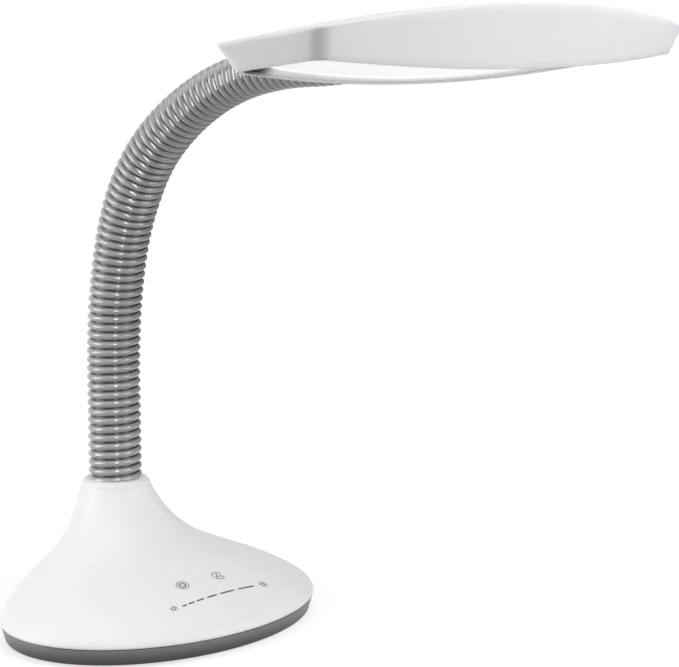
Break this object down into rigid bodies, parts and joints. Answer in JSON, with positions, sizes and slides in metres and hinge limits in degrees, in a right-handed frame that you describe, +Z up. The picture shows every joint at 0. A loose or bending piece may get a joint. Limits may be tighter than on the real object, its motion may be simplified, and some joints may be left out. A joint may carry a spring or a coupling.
{
  "type": "desk_lamp",
  "caption": "Gooseneck LED desk lamp: white oval weighted base with touch controls, ribbed grey neck and a long lens-shaped silver-white head.",
  "frame": {"origin": "middle of the oval base on the table", "axes": "+Z up; the lamp faces -Y; +X runs along the head, to the lamp's left"},
  "size_m": [0.275, 0.3347, 0.3409],
  "materials": {
    "cover_white": "smooth white moulded plastic with a soft gloss",
    "tray_grey": "grey moulded plastic, satin",
    "foot_rubber": "black non-slip rubber",
    "steel": "plain steel",
    "iron": "rough cast iron",
    "board_green": "green lacquered circuit board",
    "nylon_white": "white nylon",
    "inlet_black": "black moulded plastic",
    "sleeve_grey": "satin grey plastic with a silvery sheen",
    "lead_black": "black cable sheath",
    "head_silver": "satin silver-white paint with a faint grain",
    "bezel_dark": "dark grey moulded plastic, satin",
    "diffuser_white": "milky white diffusing sheet, lit from behind",
    "light_white": "aluminium board with white solder mask",
    "spreader": "bare aluminium sheet",
    "led_yellow": "yellow phosphor under clear resin"
  },
  "bodies": {
    "base": {"base_cover": "cover_white", "base_tray": "tray_grey", "foot_ring": "foot_rubber", "tray_screws": "steel", "ballast": "iron", "board_spacers": "nylon_white", "driver_board": "board_green", "touch_board": "board_green", "usb_socket": "steel", "dc_inlet": "inlet_black", "neck_anchor": "steel", "neck_washer": "steel", "neck_nut": "steel", "neck_sleeve": "sleeve_grey", "lamp_lead": "lead_black"},
    "neck_1": {"neck_link_1": "steel"},
    "neck_2": {"neck_link_2": "steel"},
    "neck_3": {"neck_link_3": "steel"},
    "neck_4": {"neck_link_4": "steel"},
    "neck_5": {"neck_link_5": "steel"},
    "neck_6": {"neck_link_6": "steel"},
    "neck_7": {"neck_link_7": "steel"},
    "neck_8": {"neck_link_8": "steel"},
    "head": {"neck_tip": "steel", "neck_collar": "bezel_dark", "neck_clamp": "inlet_black", "clamp_screws": "steel", "head_cover": "head_silver", "head_bezel": "bezel_dark", "diffuser": "diffuser_white", "light_board": "light_white", "heat_spreader": "spreader", "leds": "led_yellow", "light_screws": "steel"}
  },
  "joints": [
    {"name": "neck_nod_1", "type": "hinge", "parent": "base", "child": "neck_1", "pos_m": [0, 0.0364, 0.115], "axis": [1, 0, 0], "range_deg": [-20, 12], "deforming": ["neck_sleeve", "lamp_lead"]},
    {"name": "neck_sway_2", "type": "hinge", "parent": "neck_1", "child": "neck_2", "pos_m": [0, 0.0364, 0.153], "axis": [0, 0.9988, 0.0488], "range_deg": [-15, 15], "deforming": ["neck_sleeve", "lamp_lead"]},
    {"name": "neck_nod_3", "type": "hinge", "parent": "neck_2", "child": "neck_3", "pos_m": [0, 0.03269, 0.19082], "axis": [1, 0, 0], "range_deg": [-20, 12], "deforming": ["neck_sleeve", "lamp_lead"]},
    {"name": "neck_sway_4", "type": "hinge", "parent": "neck_3", "child": "neck_4", "pos_m": [0, 0.0235, 0.22769], "axis": [0, 0.9295, 0.3689], "range_deg": [-15, 15], "deforming": ["neck_sleeve", "lamp_lead"]},
    {"name": "neck_nod_5", "type": "hinge", "parent": "neck_4", "child": "neck_5", "pos_m": [0, 0.0049, 0.26083], "axis": [1, 0, 0], "range_deg": [-20, 12], "deforming": ["neck_sleeve", "lamp_lead"]},
    {"name": "neck_sway_6", "type": "hinge", "parent": "neck_5", "child": "neck_6", "pos_m": [0, -0.02408, 0.28541], "axis": [0, 0.5512, 0.8344], "range_deg": [-15, 15], "deforming": ["neck_sleeve", "lamp_lead"]},
    {"name": "neck_nod_7", "type": "hinge", "parent": "neck_6", "child": "neck_7", "pos_m": [0, -0.05806, 0.30242], "axis": [1, 0, 0], "range_deg": [-20, 12], "deforming": ["neck_sleeve", "lamp_lead"]},
    {"name": "neck_sway_8", "type": "hinge", "parent": "neck_7", "child": "neck_8", "pos_m": [0, -0.09523, 0.31032], "axis": [0, 0.1132, 0.9936], "range_deg": [-15, 15], "deforming": ["neck_sleeve", "lamp_lead"]},
    {"name": "neck_nod_9", "type": "hinge", "parent": "neck_8", "child": "head", "pos_m": [0, -0.13322, 0.31099], "axis": [1, 0, 0], "range_deg": [-20, 12], "deforming": ["neck_sleeve", "lamp_lead"]}
  ]
}
